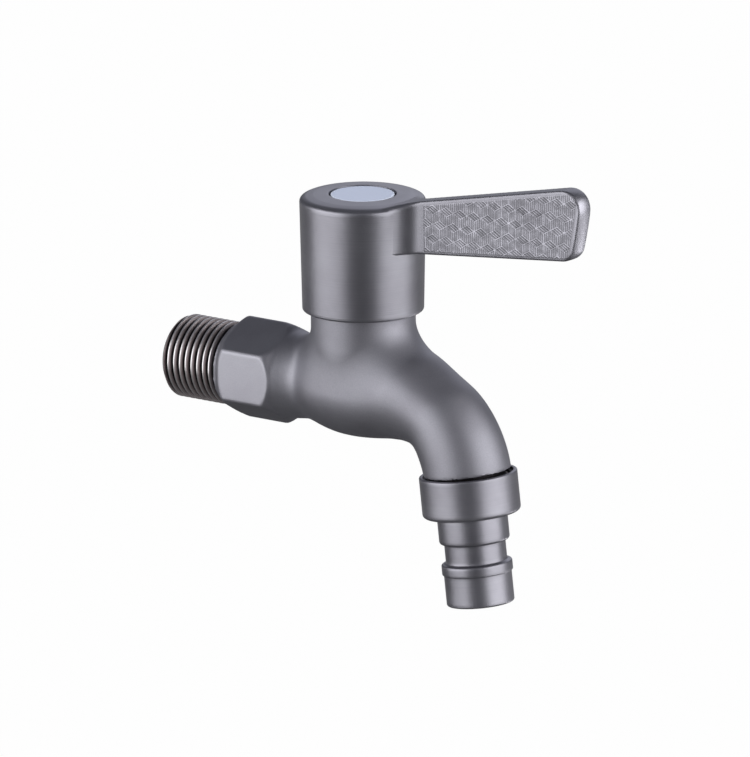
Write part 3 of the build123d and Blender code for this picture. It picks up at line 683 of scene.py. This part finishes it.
# Union nut. Turned brass, plated: a plain round nut whose lip holds the nozzle's flange up
# against the spout, and whose thin upper rim goes round the spout's end.
turned_colour = (0.315, 0.31, 0.345, 1)
nut_radius, rim_bore, nut_bore = 12.2775, 11.2475, pipe_radius + 0.05
nut_top, lip_top, nut_bottom = -0.6, 8.2, 9.7
step_radius = 8.8
lip_bore = step_radius + 0.07
nut_outline = rounded([
    (nut_radius, nut_top, 0.4), (rim_bore, nut_top, 0.2), (rim_bore, 0.3, 0.1),
    (nut_bore, 0.3, 0.15), (nut_bore, lip_top, 0.1), (lip_bore, lip_top, 0.1),
    (lip_bore, nut_bottom, 0.15), (nut_radius, nut_bottom, 0.95),
])
nut = piece("union_nut", *turned(nut_outline, outlet_origin, down), "nut", "hose_nut")


def turned_finish(name, rough, line_width):
    """Plated metal with fine turning lines round the spout's axis, one to each line_width."""
    finish = Finish(name)
    x, y, z = spot = finish.place()
    s = (x - outlet[0]) * down[0] + (z - outlet[1]) * down[2]
    beside = (x - outlet[0]) * down[2] - (z - outlet[1]) * down[0]
    lines = finish.noise((x, y, s), (0.05, 0.05, 1 / line_width), detail=3)
    cloud, shade = finish.clouded(spot, 0.09, gunmetal_dark, turned_colour)
    # Painted shade: near-black within 11 mm of the spout's axis and above 7.7 mm down it, on the
    # nut's bore and the nozzle's flange inside it.
    inside = (1 - beside.across(y).rise(10.9, 11.1)) * (1 - s.rise(7.7, 8.0))
    shade = finish.dimmed(shade, 1.06 - lines * 0.12)
    finish.put(
        Base_Color=finish.blend(inside, shade, (0.02, 0.02, 0.025, 1)),
        Roughness=rough + cloud * 0.05 + lines * 0.08,
        Metallic=1.0,
    )
    finish.bump(lines, strength=0.4, depth=0.04)
    return finish


dress(nut, turned_finish("turned_nut_metal", rough=0.36, line_width=0.24))

# Hose nozzle. Turned brass in one piece, plated: a flange inside the nut, a plain step, a groove
# and a ridge that a hose connector's claws close over, and a plain end.
nozzle_bore, nozzle_end, tail_radius = 5.6, 32.35, 8.45
ridge_radius, ridge_top, ridge_foot = 8.85, 21.8, 24.5
groove_radius, groove_top = 7.65, 16.65
flange_radius, flange_top = 9.2775, 6.7
nozzle_outline = rounded([
    (nozzle_bore, flange_top, 0.1), (nozzle_bore, nozzle_end, 0.5), (tail_radius, nozzle_end, 0.5),
    (tail_radius, ridge_foot, 0.06), (ridge_radius, ridge_foot, 0.25),
    (ridge_radius, ridge_top, 0.5), (groove_radius, ridge_top, 0.6),
    (groove_radius, groove_top, 0.06), (step_radius, groove_top, 0.7),
    (step_radius, lip_top, 0.1), (flange_radius, lip_top, 0.1), (flange_radius, flange_top, 0.1),
])
nozzle = piece("nozzle", *turned(nozzle_outline, outlet_origin, down), "nozzle", "hose_nozzle")
dress(nozzle, turned_finish("turned_nozzle_metal", rough=0.34, line_width=0.2))

# Parts inside. They stay as the CAD gives them: machined brass headpart and spindle, lapped
# ceramic discs, moulded seals and rings, and plain steel for the screw and its spring washer.
inner = {
    "headpart_brass": ((0.68, 0.54, 0.26, 1), (0.60, 0.46, 0.20, 1), 0.28, 1.0, 0.15),
    "spindle_brass": ((0.72, 0.58, 0.30, 1), (0.64, 0.50, 0.24, 1), 0.24, 1.0, 0.12),
    "clip_bronze": ((0.58, 0.40, 0.20, 1), (0.48, 0.32, 0.15, 1), 0.32, 1.0, 0.3),
    "slide_plastic": ((0.86, 0.85, 0.81, 1), (0.80, 0.79, 0.74, 1), 0.42, 0.0, 0.5),
    "gasket_fibre": ((0.48, 0.14, 0.11, 1), (0.38, 0.10, 0.08, 1), 0.75, 0.0, 0.2),
    "seal_rubber": ((0.035, 0.035, 0.035, 1), (0.02, 0.02, 0.02, 1), 0.55, 0.0, 0.3),
    "ceramic": ((0.91, 0.90, 0.86, 1), (0.87, 0.86, 0.81, 1), 0.16, 0.0, 0.4),
    "insert_plastic": ((0.13, 0.13, 0.14, 1), (0.10, 0.10, 0.11, 1), 0.50, 0.0, 0.3),
    "screw_steel": ((0.62, 0.62, 0.62, 1), (0.54, 0.54, 0.55, 1), 0.27, 1.0, 0.12),
}


def inner_finish(name, light, dark, rough, metallic, mark):
    """Two close colours in patches, with fine marks of this size in millimetres."""
    finish = Finish(name)
    spot = finish.place()
    cloud, shade = finish.clouded(spot, 0.15, dark, light, low=0.25, high=0.75)
    fine = finish.noise(spot, (0.2, 0.2, 1 / mark))
    finish.put(Base_Color=shade, Roughness=rough + fine * 0.08, Metallic=metallic)
    finish.bump(fine, strength=0.2, depth=0.02)
    return finish


finishes = {name: inner_finish(name, *facts) for name, facts in inner.items()}
for part in frame["record"]["subparts"]:
    if part["material_slot"] in finishes:
        dress(frame["nodes"][part["node"]], finishes[part["material_slot"]])

# Floor and room. A white sheet well below the tap and a white room, as the camera sees them. In
# mirrors both are dim, apart from a pale backdrop behind and above the tap and part of the sheet.
floor_drop, floor_radius = 0.5, 6
bpy.ops.mesh.primitive_circle_add(
    vertices=96, radius=floor_radius, fill_type="NGON", location=(0.04, 0, -floor_drop)
)
floor = bpy.context.object
floor.name = "floor"
sheet = Finish("white_sheet")
seen, mirrored = [
    sheet.node("ShaderNodeLightPath", out=ray) for ray in ("Is Camera Ray", "Is Glossy Ray")
]
x, y, z = sheet.place()
behind = (x * -0.602 + y * 0.799).rise(900, 1500)
sheet.put(Base_Color=(0.14, 0.14, 0.14, 1), Roughness=0.9)
plain = Value(sheet, sheet.shader.outputs[0])
glow = sheet.node("ShaderNodeEmission", sockets={"Color": (1, 1, 1, 1), "Strength": 1.0})
share = seen * 0.99 + mirrored * behind * 0.3
surface = sheet.node("ShaderNodeMixShader", sockets={0: share, 1: plain, 2: glow})
sheet.feed(sheet.tree.nodes["Material Output"].inputs["Surface"], surface)
floor.data.materials.append(sheet.material)

room_level, room_tint = 0.18, (0.88, 0.90, 1, 1)
backdrop_way = (-0.380, 0.815, 0.438)
world = bpy.data.worlds.new("studio")
bpy.context.scene.world = world
world.use_nodes = True
room = Nodes(world.node_tree)
seen = room.node("ShaderNodeLightPath", out="Is Camera Ray")
around = room.node("ShaderNodeTexCoord", out="Generated")
towards = room.node(
    "ShaderNodeVectorMath", {"operation": "DOT_PRODUCT"}, {0: around, 1: backdrop_way}, out="Value"
)
level = towards.rise(0.87, 0.985) * (1 - room_level) + room_level
background = world.node_tree.nodes["Background"]
room.feed(background.inputs["Strength"], seen + (1 - seen) * level)
room.feed(background.inputs["Color"], room.blend(seen, room_tint, (1, 1, 1, 1)))

# Lamps. A large soft box at each side makes the two light bands down the tap, a low card behind
# lights the lower edges, and a box overhead lights what isn't metal and stays out of mirrors.
centre = Vector((valve_x / 1000, 0, 0))
lamp_distance = 0.9
lamps = {
    "left_box": (-31, 7.4, 1.25, 0.85, 7.6),
    "right_box": (99, 12, 1.2, 1.1, 9.6),
    "low_card": (150, -33, 0.4, 0.3, 1.7),
    "overhead": (0, 88, 0.9, 0.9, 5.4),
}


def towards_side(azimuth, elevation):
    """Unit vector from the tap to this side, with angles counted as the camera's views are."""
    a, e = radians(azimuth), radians(elevation)
    return Vector((sin(a) * cos(e), -cos(a) * cos(e), sin(e)))


def soft_light(name, azimuth, elevation, width, height, power):
    """A rectangular lamp that faces the tap from this side."""
    way = towards_side(azimuth, elevation)
    lamp = bpy.data.lights.new(name, "AREA")
    lamp.shape = "RECTANGLE"
    lamp.size, lamp.size_y, lamp.energy = width, height, power
    made = bpy.data.objects.new(name, lamp)
    bpy.context.scene.collection.objects.link(made)
    made.rotation_mode = "QUATERNION"
    made.rotation_quaternion = (-way).to_track_quat("-Z", "Y")
    made.location = centre + way * lamp_distance
    return made


lights = {name: soft_light(name, *facts) for name, facts in lamps.items()}
lights["overhead"].visible_glossy = False

# Camera. A long lens from the photograph's side, with the frame's middle up and to the right of
# the valve and the frame turned slightly.
view_azimuth, view_elevation, view_roll = 37.0, 14.5, -0.35
pixels_per_mm, frame_width = 4.0226, 750
pixels_right, pixels_up = 11.3, 8.2
lens, sensor = 1200.0, 36.0
camera = bpy.data.cameras.new("camera")
camera.sensor_fit, camera.sensor_width, camera.lens = "HORIZONTAL", sensor, lens
camera.clip_start, camera.clip_end = 0.1, 30
eye = bpy.data.objects.new("camera", camera)
bpy.context.scene.collection.objects.link(eye)
bpy.context.scene.camera = eye
back = towards_side(view_azimuth, view_elevation)
right = Vector((cos(radians(view_azimuth)), sin(radians(view_azimuth)), 0))
up = back.cross(right)
aim = centre + (right * pixels_right + up * pixels_up) / pixels_per_mm / 1000
eye.location = aim + back * (lens / sensor * frame_width / pixels_per_mm / 1000)
eye.rotation_mode = "QUATERNION"
roll = Matrix.Rotation(radians(view_roll), 3, back).to_quaternion()
eye.rotation_quaternion = roll @ (-back).to_track_quat("-Z", "Y")
bpy.context.scene.view_settings.view_transform = "Standard"
